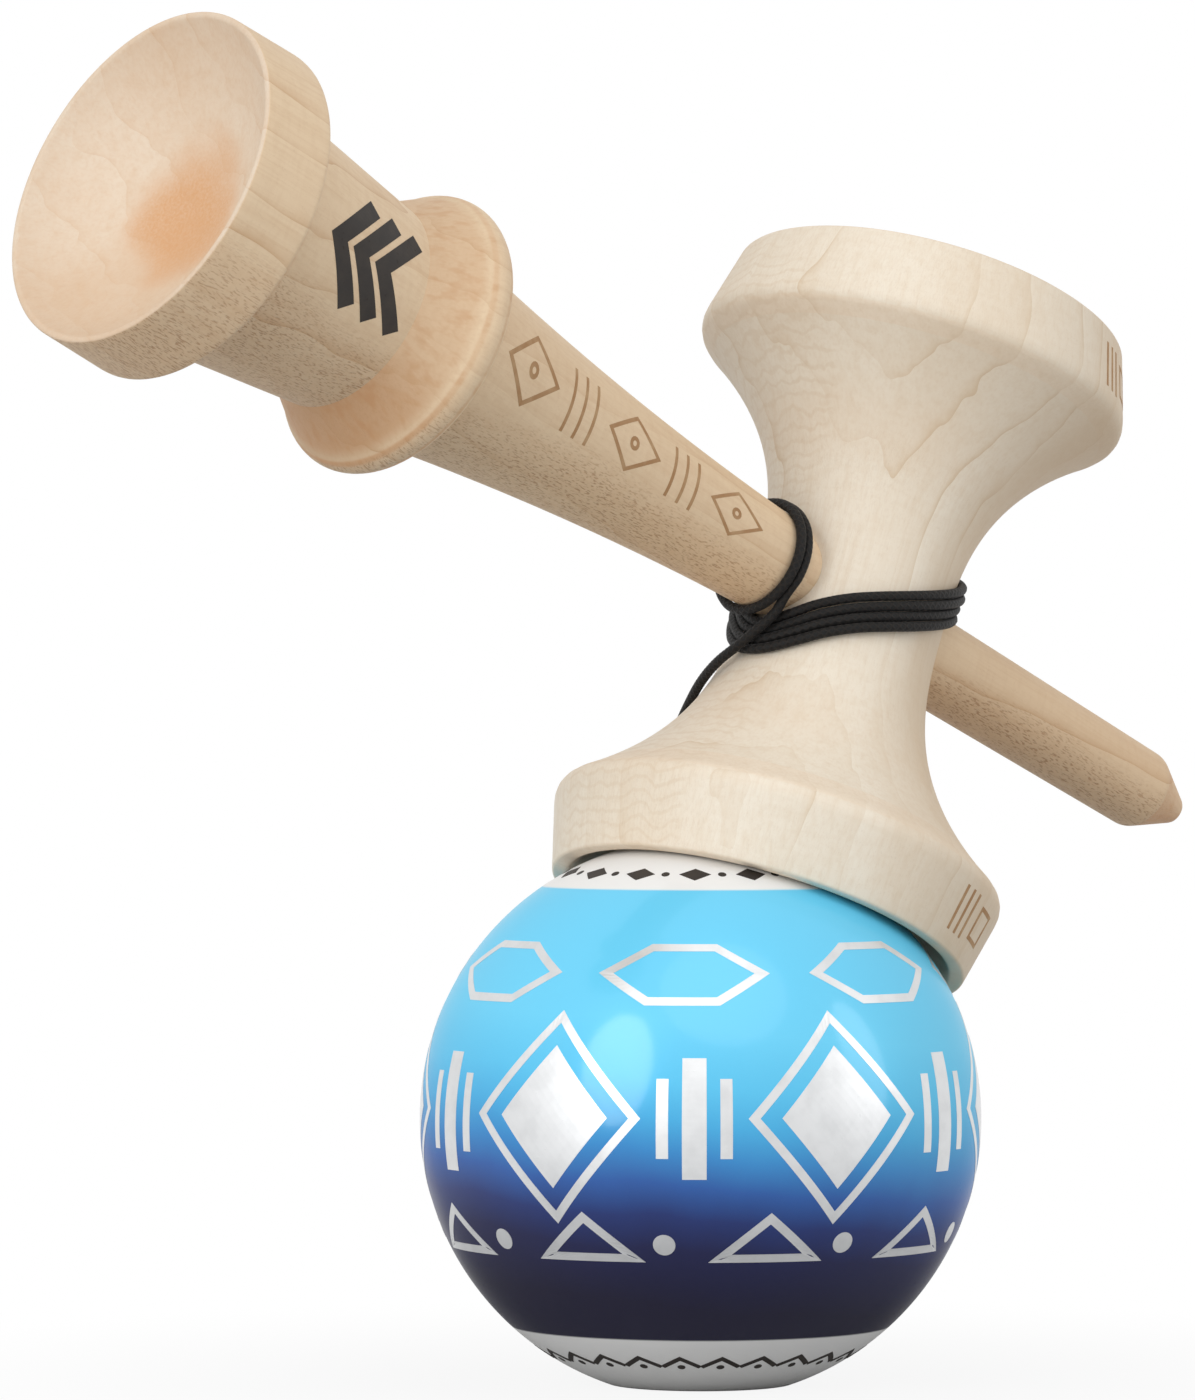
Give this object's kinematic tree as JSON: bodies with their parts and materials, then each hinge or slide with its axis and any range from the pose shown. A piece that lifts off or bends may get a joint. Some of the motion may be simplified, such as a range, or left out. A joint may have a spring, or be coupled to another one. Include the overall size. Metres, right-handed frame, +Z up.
{
  "type": "kendama",
  "caption": "Kendama stood on its ball: turned wooden handle with spike and base cup, cross cups on the shaft, and a painted ball on a cord wound round the neck.",
  "frame": {"origin": "middle of the flat ring around the spike hole, on which the ball stands", "axes": "+Z up along the axis of the ball's spike hole, and +Y straight away from the picture's camera, with +X to its right"},
  "size_m": [0.1284, 0.1203, 0.145],
  "materials": {
    "pale_wood": "sanded bare wood",
    "painted_wood": "gloss paint, light blue above and dark blue below, with white pole bands",
    "bead_wood": "sanded bare wood",
    "cord": "braided cord"
  },
  "bodies": {
    "tama": {"tama": "painted_wood"},
    "bead": {"bead": "bead_wood"},
    "ken": {"ken": "pale_wood", "sarado": "pale_wood", "string_winding": "cord", "string_lead": "cord", "end_knot": "cord", "anchor_knot": "cord"}
  },
  "joints": [
    {"name": "cord_slack", "type": "slide", "parent": "tama", "child": "bead", "axis": [0, 0, 1], "range_m": [0, 0.004]},
    {"name": "ken_turn", "type": "hinge", "parent": "bead", "child": "ken", "pos_m": [0, 0, 0.0368], "axis": [0, 0, 1], "continuous": true}
  ]
}
